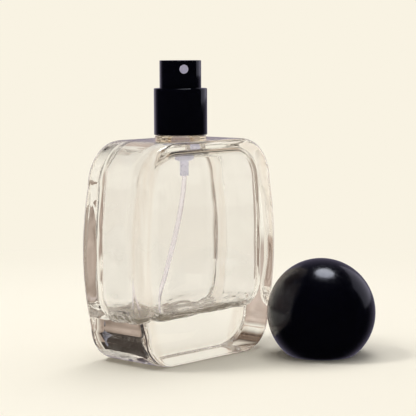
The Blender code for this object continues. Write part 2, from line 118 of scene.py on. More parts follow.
WHITE = (1.0, 1.0, 1.0)
CREAM = (0.947, 0.896, 0.768)
CLEAR = (0.992, 0.990, 0.994)
CLOUDED = tuple(c * 0.985 for c in CLEAR)
SHEEN = (0.84, 0.86, 1.0)           # of the black gloss, slightly violet
# Painted light: the pale plastics glow with this tint, standing in for the lamps' light that the
# glass round them would let through
PAINTED_GLOW_TINT = (0.84, 0.82, 1.0)            # of the pale plastics' glow

# The glass's painted reflections and its swirls. Each pair holds the two places between which a mask
# fades in.
# Painted reflection: the brown of the surroundings that the solid glass beside the cavity bends into
# view, painted into the glass's colour
POST_PAINTED_REFLECTION = (0.84, 0.76, 0.70)      # of the solid glass beside the cavity
POSTS_ASIDE = (29.0 * MM, 31.5 * MM)
POSTS_AHEAD = (10.0 * MM, 12.0 * MM)
# Painted reflection: the tan that the glass neck ring shows of its surroundings, painted into the
# glass's colour from the neck ring up
NECK_PAINTED_REFLECTION = (0.72, 0.60, 0.47)
NECK_REFLECTION_START = (FLASK_HEIGHT - 0.4 * MM, FLASK_HEIGHT + 0.2 * MM)
SWIRLS_PER_METRE = 350.0
SWIRL_DEPTH = 1.2 * MM
SWIRLS_ASIDE = (29.0 * MM, 27.0 * MM)
SWIRLS_AHEAD = (12.5 * MM, 11.5 * MM)
SWIRLS_BELOW = (20.0 * MM, 17.5 * MM)
SWIRLS_ABOVE = (9.0 * MM, 12.0 * MM)
WAVE_DEPTH = 0.10 * MM

ROOM_RADIUS = 2.6
FLOOR_DROP = 0.05 * MM              # keeps the floor clear of the flask's base
PAPER_RADIUS = 0.10                 # matt and shaded up to here, evenly lit past the next one
SWEEP_RADIUS = 0.30
CEILING = 2.2
LAMP_DISTANCE = 1.6
RIM_LAMP_DISTANCE = 1.2
FILL = 0.37                         # even light on matt surfaces, as a share of white
MIRRORED_ROOM = 0.012
MIRRORED_BACKDROP = (0.24, 0.215, 0.30)
GLASS_BOUNCES = 40                  # light runs along inside the thick walls

FINE = 96                           # facets round the large turned pieces
WELD = 0.01 * MM


# ---------------------------------------------------------------- shapes

def add_object(name, mesh):
    obj = bpy.data.objects.new(name, mesh)
    bpy.context.scene.collection.objects.link(obj)
    return obj


def settle(obj, sharp_angle=35.0):
    """Apply the object's modifiers and shade it smooth, with its flat faces kept flat."""
    bpy.context.view_layer.update()
    graph = bpy.context.evaluated_depsgraph_get()
    mesh = bpy.data.meshes.new_from_object(obj.evaluated_get(graph))
    mesh.transform(obj.matrix_world)
    name = obj.name
    bpy.data.objects.remove(obj)
    done = add_object(name, mesh)
    for polygon in mesh.polygons:
        polygon.use_smooth = True
    mesh.set_sharp_from_angle(angle=math.radians(sharp_angle))
    return done


def arc(centre, radius, start, end, steps):
    """Points along an arc, angles in degrees, both ends included."""
    points = []
    for step in range(steps + 1):
        angle = math.radians(start + (end - start) * step / steps)
        points.append((centre[0] + radius * math.cos(angle), centre[1] + radius * math.sin(angle)))
    return points


def soften(profile, radius, closed=True):
    """Round every corner of a (radius, height) profile, but not the ends of an open one."""
    count = len(profile)
    steps = 5
    nearly_straight = 0.15
    result = []
    for i, point in enumerate(profile):
        here = Vector(point)
        if not closed and i in (0, count - 1):
            result.append(point)
            continue
        before = Vector(profile[i - 1])
        after = Vector(profile[(i + 1) % count])
        to_before = before - here
        to_after = after - here
        reach = min(radius, 0.45 * to_before.length, 0.45 * to_after.length)
        if reach < WELD or abs(to_before.angle(to_after) - math.pi) < nearly_straight:
            result.append(point)
            continue
        start = here + to_before.normalized() * reach
        end = here + to_after.normalized() * reach
        for step in range(steps + 1):
            t = step / steps
            spot = start * (1 - t) ** 2 + here * 2 * t * (1 - t) + end * t ** 2
            result.append((spot.x, spot.y))
    return result


def turned(name, profile, closed=True, steps=FINE, matrix=Matrix.Identity(4)):
    """Turn a (radius, height) profile about Z. Its outer side runs downwards."""
    mesh = bpy.data.meshes.new(name)
    count = len(profile)
    edges = [(i, i + 1) for i in range(count - 1)]
    if closed:
        edges.append((count - 1, 0))
    mesh.from_pydata([(r, 0.0, z) for r, z in profile], edges, [])
    obj = add_object(name, mesh)
    screw = obj.modifiers.new("turn", 'SCREW')
    screw.axis = 'Z'
    screw.steps = steps
    screw.render_steps = steps
    screw.use_merge_vertices = True
    screw.merge_threshold = WELD
    obj.matrix_world = matrix
    return obj


def rounded_end(height, radius):
    """How far a wall has still to move out, at a height above the end of a rounded form."""
    rest = max(radius - height, 0.0)
    return radius - math.sqrt(max(radius * radius - rest * rest, 0.0))


def rounded_ring(half_width, half_depth, corner, height):
    """A rounded rectangle seen from above, counter-clockwise, as points at one height."""
    corner_steps = 12
    long_steps = 16
    short_steps = 4
    ring = []
    corners = [(1, -1, -90.0), (1, 1, 0.0), (-1, 1, 90.0), (-1, -1, 180.0)]
    for index, (side_x, side_y, start) in enumerate(corners):
        centre = (side_x * (half_width - corner), side_y * (half_depth - corner))
        ring += arc(centre, corner, start, start + 90.0, corner_steps)
        after_x, after_y, after_start = corners[(index + 1) % 4]
        last = Vector(ring[-1])
        turn = math.radians(after_start)
        target = Vector((after_x * (half_width - corner) + corner * math.cos(turn),
                         after_y * (half_depth - corner) + corner * math.sin(turn)))
        steps = short_steps if index % 2 == 0 else long_steps
        ring += [tuple(last.lerp(target, step / steps)) for step in range(1, steps)]
    return [(x, y, height) for x, y in ring]


def section_heights(bottom, top, low_radii, high_radii):
    """Heights of a block's sections, close together where its ends are round."""
    steps = 14
    heights = set()
    for step in range(steps + 1):
        share = 1.0 - math.cos(math.radians(90.0) * step / steps)
        heights.update(bottom + radius * share for radius in low_radii)
        heights.update(top - radius * share for radius in high_radii)
    low = bottom + max(low_radii)
    high = top - max(high_radii)
    heights.update(low + (high - low) * step / steps for step in range(1, steps))
    return sorted(heights)


def rippled(point, bottom, half_width):
    """Move a point of the cavity's surface, to make its floor and end walls uneven."""
    x, y, z = point
    smooth_middle = 0.55
    near_floor = max(0.0, 1.0 - (z - bottom) / RIPPLED_HEIGHT)
    near_end = max(0.0, abs(x) / half_width - smooth_middle)
    amount = CAVITY_RIPPLE * max(near_floor, near_end)
    stretched = Vector((x * 0.3, y, z * 0.5))
    return Vector(point) + noise_vector(stretched * RIPPLES_PER_METRE) * amount


def soft_block(name, half_width, half_depth, bulge, ends, radii, edges, corner, uneven=False):
    """A block with bulging sides: an oblong with soft corners in plan, round at both ends.

    ends are the heights of its bottom and top, radii those of its four corners seen from the
    front, and edges those of the front and back face's edges, bottom first each time.
    """
    bottom, top = ends
    middle = FLASK_HEIGHT / 2
    rings = []
    for height in section_heights(bottom, top, (radii[0], edges[0]), (radii[1], edges[1])):
        beside = min(max(height, bottom + radii[0]), top - radii[1])
        width = half_width - bulge * ((beside - middle) / middle) ** 2
        width -= rounded_end(height - bottom, radii[0]) + rounded_end(top - height, radii[1])
        shrink = rounded_end(height - bottom, edges[0]) + rounded_end(top - height, edges[1])
        rings.append(rounded_ring(width, half_depth - shrink, corner - shrink, height))
    floor = rings[0]
    for tenths in range(1, 10):
        share = 1.0 - tenths / 10
        rings.insert(0, [(x * share, y * share, z) for x, y, z in floor])
    if uneven:
        rings = [[rippled(point, bottom, half_width) for point in ring] for ring in rings]
    form = bmesh.new()
    rows = [[form.verts.new(point) for point in ring] for ring in rings]
    count = len(rows[0])
    for lower, upper in zip(rows, rows[1:]):
        for i in range(count):
            j = (i + 1) % count
            form.faces.new((lower[i], lower[j], upper[j], upper[i]))
    form.faces.new(list(reversed(rows[0])))
    form.faces.new(rows[-1])
    bmesh.ops.remove_doubles(form, verts=form.verts, dist=WELD / 10)
    bmesh.ops.recalc_face_normals(form, faces=form.faces)
    mesh = bpy.data.meshes.new(name)
    form.to_mesh(mesh)
    form.free()
    return add_object(name, mesh)


def boolean(target, tool, operation):
    modifier = target.modifiers.new(operation.lower(), 'BOOLEAN')
    modifier.operation = operation
    modifier.object = tool
    modifier.solver = 'EXACT'


def rod(name, radius, low, high, steps=48, matrix=Matrix.Identity(4)):
    profile = [(0.0, high), (radius, high), (radius, low), (0.0, low)]
    return turned(name, profile, closed=False, steps=steps, matrix=matrix)


def rod_along(name, points, radius, capped=True):
    """A round rod along a list of points."""
    curve = bpy.data.curves.new(name, 'CURVE')
    curve.dimensions = '3D'
    curve.bevel_depth = radius
    curve.bevel_resolution = 6
    curve.use_fill_caps = capped
    spline = curve.splines.new('POLY')
    spline.points.add(len(points) - 1)
    for point, spot in zip(spline.points, points):
        point.co = (*spot, 1.0)
    return add_object(name, curve)


def heading(angle, height):
    """The place that lays a shape's own Z axis level, along a heading and at a height."""
    lay_down = Matrix.Rotation(math.radians(90.0), 4, 'X')
    return Matrix.Translation((0.0, 0.0, height)) @ Matrix.Rotation(angle, 4, 'Z') @ lay_down


# ---------------------------------------------------------------- materials

def new_material(name, color, roughness, metallic=0.0):
    material = bpy.data.materials.new(name)
    material.use_nodes = True
    shader = material.node_tree.nodes["Principled BSDF"]
    shader.inputs["Base Color"].default_value = (*color, 1.0)
    shader.inputs["Roughness"].default_value = roughness
    shader.inputs["Metallic"].default_value = metallic
    return material, material.node_tree, shader


def noise(tree, scale, detail=3.0, stretch=(1.0, 1.0, 1.0), space="Object"):
    """Noise in the piece's own coordinates, with scale in bumps per metre, or in its UV map."""
    place = tree.nodes.new("ShaderNodeTexCoord")
    mapping = tree.nodes.new("ShaderNodeMapping")
    mapping.inputs["Scale"].default_value = stretch
    texture = tree.nodes.new("ShaderNodeTexNoise")
    texture.inputs["Scale"].default_value = scale
    texture.inputs["Detail"].default_value = detail
    tree.links.new(place.outputs[space], mapping.inputs["Vector"])
    tree.links.new(mapping.outputs["Vector"], texture.inputs["Vector"])
    return texture.outputs["Fac"]


def coordinates(tree, space):
    """The separate X, Y and Z of a point, in its piece's own space or in its UV map."""
    place = tree.nodes.new("ShaderNodeTexCoord")
    split = tree.nodes.new("ShaderNodeSeparateXYZ")
    tree.links.new(place.outputs[space], split.inputs["Vector"])
    return split.outputs["X"], split.outputs["Y"], split.outputs["Z"]


def spread(tree, value, low, high):
    """Stretch the middle of a noise's range, where nearly all of it lies, to low..high."""
    span = tree.nodes.new("ShaderNodeMapRange")
    span.inputs["From Min"].default_value = 0.3
    span.inputs["From Max"].default_value = 0.7
    span.inputs["To Min"].default_value = low
    span.inputs["To Max"].default_value = high
    tree.links.new(value, span.inputs["Value"])
    return span.outputs["Result"]


def math_node(tree, operation, first, second=None):
    """A Math node on a linked first value and a linked or plain second one."""
    node = tree.nodes.new("ShaderNodeMath")
    node.operation = operation
    tree.links.new(first, node.inputs[0])
    if isinstance(second, float):
        node.inputs[1].default_value = second
    elif second is not None:
        tree.links.new(second, node.inputs[1])
    return node.outputs["Value"]


def multiply(tree, first, *others):
    product = first
    for other in others:
        product = math_node(tree, 'MULTIPLY', product, other)
    return product


def smooth_step(tree, value, start, end):
    """1 past end and 0 before start, whichever way round they lie."""
    step = tree.nodes.new("ShaderNodeMapRange")
    step.interpolation_type = 'SMOOTHSTEP'
    step.inputs["From Min"].default_value = start
    step.inputs["From Max"].default_value = end
    tree.links.new(value, step.inputs["Value"])
    return step.outputs["Result"]


def mixed(tree, first, second, factor):
    """Between two colours, each a plain (r, g, b) or another node's output."""
    mix = tree.nodes.new("ShaderNodeMix")
    mix.data_type = 'RGBA'
    for color, socket in ((first, mix.inputs["A"]), (second, mix.inputs["B"])):
        if isinstance(color, tuple):
            socket.default_value = (*color, 1.0)
        else:
            tree.links.new(color, socket)
    tree.links.new(factor, mix.inputs["Factor"])
    return mix.outputs["Result"]


def bumped(tree, height, distance, strength=1.0, normal=None):
    """The normal of a surface raised by a texture, on top of another bump where one is given."""
    bump = tree.nodes.new("ShaderNodeBump")
    bump.inputs["Distance"].default_value = distance
    bump.inputs["Strength"].default_value = strength
    tree.links.new(height, bump.inputs["Height"])
    if normal is not None:
        tree.links.new(normal, bump.inputs["Normal"])
    return bump.outputs["Normal"]


def glass_material():
    """Pressed clear glass, with swirls at its cavity's floor and painted reflections of the
    surroundings: streaky brown beside the cavity, tan at the neck ring.
    """
    material, tree, shader = new_material("clear_glass", CLEAR, 0.0)
    shader.inputs["Transmission Weight"].default_value = 1.0
    shader.inputs["IOR"].default_value = 1.5
    right, back, height = coordinates(tree, "Object")
    aside = math_node(tree, 'ABSOLUTE', right)
    ahead = math_node(tree, 'ABSOLUTE', back)

    # The painted reflection beside the cavity follows the flask's bulging sides
    middle = FLASK_HEIGHT / 2
    from_middle = math_node(tree, 'SUBTRACT', height, middle)
    drawn_in = multiply(tree, from_middle, from_middle, FLASK_BULGE / middle ** 2)
    outward = math_node(tree, 'ADD', aside, drawn_in)
    post_reflection_mask = multiply(tree, smooth_step(tree, outward, *POSTS_ASIDE),
                     smooth_step(tree, ahead, *POSTS_AHEAD))
    # Streaks in the painted reflection beside the cavity
    streaks = spread(tree, noise(tree, 420.0, 3.0, (1.0, 1.0, 0.07)), 0.2, 1.0)
    # Painted reflection: the glass turns tan from the neck ring up
    neck = smooth_step(tree, height, *NECK_REFLECTION_START)
    body = mixed(tree, CLEAR, CLOUDED, noise(tree, 60.0, 2.0))
    # The painted reflection is laid into the glass's colour beside the cavity
    body = mixed(tree, body, POST_PAINTED_REFLECTION, multiply(tree, post_reflection_mask, streaks))
    tree.links.new(mixed(tree, body, NECK_PAINTED_REFLECTION, neck), shader.inputs["Base Color"])

    inside = multiply(tree, smooth_step(tree, ahead, *SWIRLS_AHEAD),
                      smooth_step(tree, aside, *SWIRLS_ASIDE))
    low = multiply(tree, smooth_step(tree, height, *SWIRLS_BELOW),
                   smooth_step(tree, height, *SWIRLS_ABOVE))
    swirls = multiply(tree, noise(tree, SWIRLS_PER_METRE, 1.0, (0.22, 1.0, 1.0)),
                      multiply(tree, inside, low))
    waves = noise(tree, 45.0, 1.0, (1.6, 1.6, 0.25))
    normal = bumped(tree, swirls, SWIRL_DEPTH)
    normal = bumped(tree, waves, WAVE_DEPTH, 0.6, normal)
    tree.links.new(normal, shader.inputs["Normal"])
    return material


def gloss_material(name, color, roughness, level):
    """Glossy moulded plastic with fine handling marks."""
    material, tree, shader = new_material(name, color, roughness)
    shader.inputs["Specular IOR Level"].default_value = level
    shader.inputs["Specular Tint"].default_value = (*SHEEN, 1.0)
    lighter = tuple(c * 2.0 for c in color)
    clouds = noise(tree, 300.0, 4.0)
    marks = noise(tree, 900.0, 6.0, (1.0, 1.0, 0.3))
    waves = noise(tree, 130.0, 1.0)
    tree.links.new(mixed(tree, color, lighter, clouds), shader.inputs["Base Color"])
    tree.links.new(spread(tree, marks, roughness * 0.7, roughness * 1.5), shader.inputs["Roughness"])
    tree.links.new(bumped(tree, waves, 0.02 * MM, 0.5), shader.inputs["Normal"])
    return material


def moulded_material(name, color, roughness, transmission=0.0, glow=0.0):
    """Plain moulded plastic: satin, slightly uneven, sometimes translucent.

    glow stands for the lamps' light that the glass round a piece would let through.
    """
    material, tree, shader = new_material(name, color, roughness)
    shader.inputs["Emission Color"].default_value = (*PAINTED_GLOW_TINT, 1.0)
    shader.inputs["Emission Strength"].default_value = glow
    shader.inputs["Transmission Weight"].default_value = transmission
    shader.inputs["IOR"].default_value = 1.48
    darker = tuple(c * 0.9 for c in color)
    clouds = noise(tree, 500.0, 3.0)
    marks = noise(tree, 1500.0, 4.0)
    grain = noise(tree, 2500.0, 3.0)
    tree.links.new(mixed(tree, color, darker, clouds), shader.inputs["Base Color"])
    tree.links.new(spread(tree, marks, roughness * 0.8, roughness * 1.2), shader.inputs["Roughness"])
    tree.links.new(bumped(tree, grain, 0.01 * MM, 0.4), shader.inputs["Normal"])
    return material


def metal_material(name, color, roughness, stretch):
    """Drawn or pressed metal, with its grain along the direction that stretch leaves long."""
    material, tree, shader = new_material(name, color, roughness, 1.0)
    darker = tuple(c * 0.8 for c in color)
    grain = noise(tree, 1200.0, 5.0, stretch)
    tree.links.new(mixed(tree, color, darker, grain), shader.inputs["Base Color"])
    tree.links.new(spread(tree, grain, roughness * 0.7, roughness * 1.4), shader.inputs["Roughness"])
    tree.links.new(bumped(tree, grain, 0.01 * MM, 0.3), shader.inputs["Normal"])
    return material


def dress(obj, material):
    obj.data.materials.clear()
    obj.data.materials.append(material)


# ---------------------------------------------------------------- pieces

def make_flask(material):
    """Flask from a soft block: the neck is added, and the cavity and the bore are cut out."""
    low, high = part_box("glass_bottle")
    half_width = (high.x - low.x) / 2
    half_depth = (high.y - low.y) / 2
    neck_top = high.z
    cavity_top = FLASK_HEIGHT - SHOULDER_THICKNESS

    flask = soft_block("flask_glass", half_width, half_depth, FLASK_BULGE, (0.0, FLASK_HEIGHT),
                       (FLASK_BOTTOM_RADIUS, FLASK_TOP_RADIUS),
                       (FLASK_FOOT_EDGE, FLASK_SHOULDER_EDGE), FLASK_CORNER)
    neck_root = FLASK_HEIGHT - 1.5 * MM
    neck_profile = [
        (0.0, neck_top),
        (NECK_BEAD_RADIUS, neck_top),
        (NECK_BEAD_RADIUS, NECK_BEAD_BOTTOM),
        (NECK_WAIST_RADIUS, NECK_BEAD_BOTTOM),
        (NECK_WAIST_RADIUS, NECK_RING_TOP),
        (NECK_RING_RADIUS, NECK_RING_TOP),
        (NECK_RING_RADIUS, neck_root),
        (0.0, neck_root),
    ]
    neck = turned("neck_form", soften(neck_profile, 0.6 * MM, closed=False), closed=False)
    seed_set(RIPPLE_SEED)
    cavity = soft_block("cavity_form", half_width - SIDE_WALL, half_depth - FACE_WALL,
                        CAVITY_BULGE, (BASE_THICKNESS, cavity_top),
                        (CAVITY_BOTTOM_RADIUS, CAVITY_TOP_RADIUS),
                        (CAVITY_FLOOR_EDGE, CAVITY_ROOF_EDGE), CAVITY_CORNER, uneven=True)
    past = 1.0 * MM
    bore = rod("bore_form", NECK_BORE_RADIUS, cavity_top - past, neck_top + past, FINE)
    boolean(flask, neck, 'UNION')
    boolean(flask, cavity, 'DIFFERENCE')
    boolean(flask, bore, 'DIFFERENCE')
    flask = settle(flask, 50.0)
    for form in (neck, cavity, bore):
        bpy.data.objects.remove(form)
    weighted = flask.modifiers.new("flat faces stay flat", 'WEIGHTED_NORMAL')
    weighted.mode = 'FACE_AREA'
    weighted.keep_sharp = True
    dress(flask, material)
    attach(flask, "bottle")
    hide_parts("glass_bottle")


def make_collar(material):
    """Black cover over the crimp, with an opening in its top for the button."""
    low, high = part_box("collar_cover")
    button_low, button_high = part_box("actuator_shell")
    gap = 0.3 * MM
    radius = (high.x - low.x) / 2
    inner = radius - 0.65 * MM
    opening = (button_high.x - button_low.x) / 2 + gap
    ledge = high.z - 0.9 * MM
    collar = turned("collar_gloss", soften([
        (opening, high.z),
        (radius, high.z),
        (radius, low.z),
        (inner, low.z),
        (inner, ledge),
        (opening, ledge),
    ], 0.35 * MM))
    collar = settle(collar)
    dress(collar, material)
    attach(collar, "bottle")
    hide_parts("collar_cover")


def make_button(material):
    """Push button with a finger dish in its top and a hole for the nozzle in its side."""
    low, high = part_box("actuator_shell")
    radius = (high.x - low.x) / 2
    inner = radius - 1.0 * MM
    ceiling = high.z - 1.15 * MM
    nozzle_height = high.z - 2.95 * MM
    dish_depth = 0.35 * MM
    dish_reach = 0.93
    profile = []
    for share in (0.0, 0.2, 0.4, 0.6, 0.75, 0.88):
        depth = dish_depth * (1.0 - (share / dish_reach) ** 2)
        profile.append((radius * share, high.z - depth))
    profile += [
        (radius * dish_reach, high.z),
        (radius, high.z),
        (radius, low.z),
        (inner, low.z),
        (inner, ceiling),
        (0.0, ceiling),
    ]
    button = turned("push_button", soften(profile, 0.4 * MM, closed=False), closed=False)
    place = heading(NOZZLE_TURN, nozzle_height)
    hole_start = 4.0 * MM
    hole_end = 9.0 * MM
    hole_radius = NOZZLE_RADIUS + 0.06 * MM
    hole = rod("nozzle_hole_form", hole_radius, hole_start, hole_end, matrix=place)
    boolean(button, hole, 'DIFFERENCE')
    button = settle(button)
    bpy.data.objects.remove(hole)
    dress(button, material)
    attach(button, "actuator")
    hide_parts("actuator_shell")
    return place


def make_spray_disc(material, place):
    """Nozzle disc: a rim, a groove, a shallow dish, and a fine spray hole in its middle."""
    face = 7.15 * MM
    back = 5.92 * MM
    hole = 0.14 * MM
    lip = face - 0.10 * MM
    dish = face - 0.16 * MM
    groove = face - 0.30 * MM
    profile = [
        (hole, lip),
        (0.30 * MM, dish),
        (0.92 * MM, dish),
        (1.00 * MM, groove),
        (1.10 * MM, face),
        (NOZZLE_RADIUS, face),
        (NOZZLE_RADIUS, back),
        (hole, back),
    ]
    disc = settle(turned("spray_disc", soften(profile, 0.05 * MM), steps=48, matrix=place))
    dress(disc, material)
    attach(disc, "actuator")
    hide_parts("nozzle_insert")


def make_pickup_tube(material):
    """Hollow dip tube that bends to one side below the pump and is cut square to its run."""
    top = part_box("dip_tube")[1].z
    bend_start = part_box("pump_housing")[0].z - 0.5 * MM
    bottom = BASE_THICKNESS + 1.1 * MM
    lean = 16.4 * MM
    bend_power = 1.5
    radius = 0.9 * MM
    steps = 60
    points = [(0.0, 0.0, top), (0.0, 0.0, (top + bend_start) / 2)]
    for step in range(steps + 1):
        share = step / steps
        height = bend_start + (bottom - bend_start) * share
        points.append((-lean * share ** bend_power, 0.0, height))
    tube = rod_along("pickup_tube", points, radius, capped=False)
    wall = tube.modifiers.new("tube wall", 'SOLIDIFY')
    wall.thickness = 0.32 * MM
    wall.offset = -1.0
    tube = settle(tube, 60.0)
    dress(tube, material)
    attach(tube, "bottle")
    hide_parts("dip_tube")


def make_pump_body(material):
    """Pump cylinder with its flange, its stepped foot, the ball's seat and the tube's spigot."""
    low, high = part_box("pump_housing")
    barrel = 3.35 * MM
    bore = 2.6 * MM
    flange = 7.1 * MM
    flange_foot = high.z - 0.7 * MM
    shoulder = 4.0 * MM
    spigot = 1.55 * MM
    spigot_bore = 1.2 * MM
    seat_bore = 0.6 * MM
    ball_room = 1.35 * MM
    foot = low.z + 5.0 * MM
    ball_room_top = foot + 4.4 * MM
    body = turned("pump_body", soften([
        (bore, high.z),
        (flange, high.z),
        (flange, flange_foot),
        (shoulder, flange_foot),
        (shoulder, high.z - 2.6 * MM),
        (barrel, high.z - 3.4 * MM),
        (barrel, foot + 1.2 * MM),
        (barrel - 0.35 * MM, foot + 0.5 * MM),
        (spigot, foot),
        (spigot, low.z),
        (spigot_bore, low.z),
        (spigot_bore, foot - 0.8 * MM),
        (seat_bore, foot - 0.3 * MM),
        (seat_bore, foot + 1.0 * MM),
        (ball_room, foot + 1.9 * MM),
        (ball_room, ball_room_top),
        (bore, ball_room_top),
    ], 0.2 * MM), steps=64)
    body = settle(body)
    dress(body, material)
    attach(body, "bottle")
    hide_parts("pump_housing")


def make_spring_coil(material):
    """Return spring: a coil with a closed turn at each end."""
    low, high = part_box("return_spring")
    wire = 0.25 * MM
    radius = high.x - wire
    turns = 5.0
    closed_rise = 2.1 * wire
    bottom = low.z + wire
    top = high.z - wire
    per_turn = 28
    points = []
    for step in range(int(turns * per_turn) + 1):
        turn = step / per_turn
        if turn <= 1.0:
            height = bottom + closed_rise * turn
        elif turn >= turns - 1.0:
            height = top - closed_rise * (turns - turn)
        else:
            share = (turn - 1.0) / (turns - 2.0)
            height = bottom + closed_rise + (top - bottom - 2.0 * closed_rise) * share
        angle = 2.0 * math.pi * turn
        points.append((radius * math.cos(angle), radius * math.sin(angle), height))
    coil = settle(rod_along("spring_coil", points, wire), 60.0)
    dress(coil, material)
    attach(coil, "bottle")
    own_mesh(coil)
    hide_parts("return_spring")


def make_ball_cap(material):
    """Hollow ball with a flat open base, standing beside the flask."""
    low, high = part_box("cap_shell")
    place = Matrix.Translation(((low.x + high.x) / 2, (low.y + high.y) / 2, 0.0))
    centre = (0.0, CAP_BALL_CENTRE)
    base_angle = math.degrees(math.asin(-CAP_BALL_CENTRE / CAP_BALL_RADIUS))
    outside = arc(centre, CAP_BALL_RADIUS, 90.0, base_angle, 48)
    hollow = CAP_BALL_RADIUS - 2.2 * MM
    opening = 10.5 * MM
    lip = 2.2 * MM
    top_bore = 8.8 * MM
    ceiling = 30.3 * MM
    low_angle = math.degrees(math.asin((lip - CAP_BALL_CENTRE) / hollow))
    high_angle = math.degrees(math.acos(top_bore / hollow))
    inside = arc(centre, hollow, low_angle, high_angle, 24)
    rim = outside[-1][0]
    profile = [(0.0, outside[0][1])] + outside[1:-1]
    profile += [(rim - 0.02 * MM, 0.14 * MM), (rim - 0.25 * MM, 0.0)]
    profile += [(opening, 0.0), (opening, lip)] + inside + [(top_bore, ceiling), (0.0, ceiling)]
    cap = settle(turned("ball_cap", profile, closed=False, matrix=place))
    dress(cap, material)
    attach(cap, "cap")
    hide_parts("cap_shell")
    return place


def make_cap_sleeve(material, place):
    """Stepped sleeve inside the cap, with grip ribs that hold the collar."""
    bore = 9.5 * MM
    wall = 0.7 * MM
    foot = 0.3 * MM
    step = 19.5 * MM
    top_bore = 7.8 * MM
    ceiling = 29.3 * MM
    rib_radius = 0.28 * MM
    rib_start = 3.0 * MM
    rib_end = step - 1.0 * MM
    sleeve = turned("cap_sleeve", soften([
        (0.0, ceiling + wall),
        (top_bore + wall, ceiling + wall),
        (top_bore + wall, step + wall),
        (bore + wall, step + wall),
        (bore + wall, foot),
        (bore, foot),
        (bore, step),
        (top_bore, step),
        (top_bore, ceiling),
        (0.0, ceiling),
    ], 0.25 * MM, closed=False), closed=False, matrix=place)
    rib_count = 12
    for index in range(rib_count):
        angle = 2.0 * math.pi * index / rib_count
        spot = place @ Matrix.Rotation(angle, 4, 'Z') @ Matrix.Translation((bore, 0.0, 0.0))
        rib = rod("rib_form_%d" % index, rib_radius, rib_start, rib_end, 12, spot)
        boolean(sleeve, rib, 'UNION')
    sleeve = settle(sleeve)
    for index in range(rib_count):
        bpy.data.objects.remove(bpy.data.objects["rib_form_%d" % index])
    dress(sleeve, material)
    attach(sleeve, "cap")
    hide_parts("cap_liner")


# ---------------------------------------------------------------- studio

def right_of_camera():
    return Vector((math.cos(CAMERA_AZIMUTH), math.sin(CAMERA_AZIMUTH), 0.0))


def place_round(turn, elevation, distance):
    """A place round the flask: turn in degrees from the camera to its right, seen from above."""
    angle = CAMERA_AZIMUTH + math.radians(turn)
    rise = math.radians(elevation)
    flat = Vector((math.sin(angle), -math.cos(angle), 0.0))
    return (flat * math.cos(rise) + Vector((0.0, 0.0, math.sin(rise)))) * distance


def make_camera():
    data = bpy.data.cameras.new("camera")
    data.lens = CAMERA_LENS
    data.sensor_width = 36.0
    data.clip_start = 0.01
    data.clip_end = 20.0
    camera = add_object("camera", data)
    spot = place_round(0.0, 0.0, CAMERA_DISTANCE)
    spot.z = CAMERA_HEIGHT
    aim = right_of_camera() * CAMERA_AIM_RIGHT
    aim.z = CAMERA_AIM_HEIGHT
    look = (aim - spot).to_track_quat('-Z', 'Y').to_matrix().to_4x4()
    camera.matrix_world = Matrix.Translation(spot) @ look @ Matrix.Rotation(CAMERA_ROLL, 4, 'Z')
    bpy.context.scene.camera = camera


def make_light(name, spot, aim, size, radiance, color=WHITE):
    """A soft light that the camera doesn't see, neither straight nor through the glass.

    size is its width and height, and radiance how bright its face is.
    """
    width, height = size
    data = bpy.data.lights.new(name, 'AREA')
    data.shape = 'RECTANGLE'
    data.size = width
    data.size_y = height
    data.energy = radiance * width * height * math.pi
    data.color = color
    light = add_object(name, data)
    light.location = spot
    light.rotation_mode = 'QUATERNION'
    light.rotation_quaternion = (Vector(aim) - Vector(spot)).to_track_quat('-Z', 'Y')
    light.visible_camera = False
    light.visible_transmission = False
    return light


def floor_material():
    """Matt cream paper that turns into an evenly lit sweep away from the object."""
    material, tree, shader = new_material("studio_floor", CREAM, 0.9)
    shader.inputs["Specular IOR Level"].default_value = 0.0
    output = tree.nodes["Material Output"]
    glow = tree.nodes.new("ShaderNodeEmission")
    glow.inputs["Color"].default_value = (*CREAM, 1.0)
    place = tree.nodes.new("ShaderNodeTexCoord")
    length = tree.nodes.new("ShaderNodeVectorMath")
    length.operation = 'LENGTH'
    mix = tree.nodes.new("ShaderNodeMixShader")
    tree.links.new(place.outputs["Object"], length.inputs[0])
    away = smooth_step(tree, length.outputs["Value"], PAPER_RADIUS, SWEEP_RADIUS)
    tree.links.new(away, mix.inputs["Fac"])
    tree.links.new(shader.outputs["BSDF"], mix.inputs[1])
    tree.links.new(glow.outputs["Emission"], mix.inputs[2])
    tree.links.new(mix.outputs["Shader"], output.inputs["Surface"])
    return material


def only_seen_through_glass(obj):
    """Keep a card out of every view, shadow and mirror, so that it only shows in the glass."""
    obj.visible_camera = False
    obj.visible_diffuse = False
    obj.visible_glossy = False
    obj.visible_shadow = False


def glowing_material(name):
    """A material that only gives off light, with the socket for the light's colour."""
    material = bpy.data.materials.new(name)
    material.use_nodes = True
    tree = material.node_tree
    tree.nodes.clear()
    glow = tree.nodes.new("ShaderNodeEmission")
    output = tree.nodes.new("ShaderNodeOutputMaterial")
    tree.links.new(glow.outputs["Emission"], output.inputs["Surface"])
    return material, tree, glow.inputs["Color"]


def card_material(name, dark, light, soft_foot=True, soft_top=True):
    """Streaky card whose sides, and top and foot where wanted, fade into the cream round it."""
    material, tree, light_color = glowing_material(name)
    across, up = coordinates(tree, "UV")[:2]
    cover = multiply(tree, smooth_step(tree, across, 0.0, 0.3), smooth_step(tree, across, 1.0, 0.7))
    if soft_top:
        cover = multiply(tree, cover, smooth_step(tree, up, 1.0, 0.6))
    if soft_foot:
        cover = multiply(tree, cover, smooth_step(tree, up, 0.0, 0.12))
    streaks = spread(tree, noise(tree, 1.0, 3.0, (9.0, 1.5, 1.0), "UV"), 0.0, 1.0)
    tones = mixed(tree, dark, light, streaks)
    tree.links.new(mixed(tree, CREAM, tones, cover), light_color)
    return material


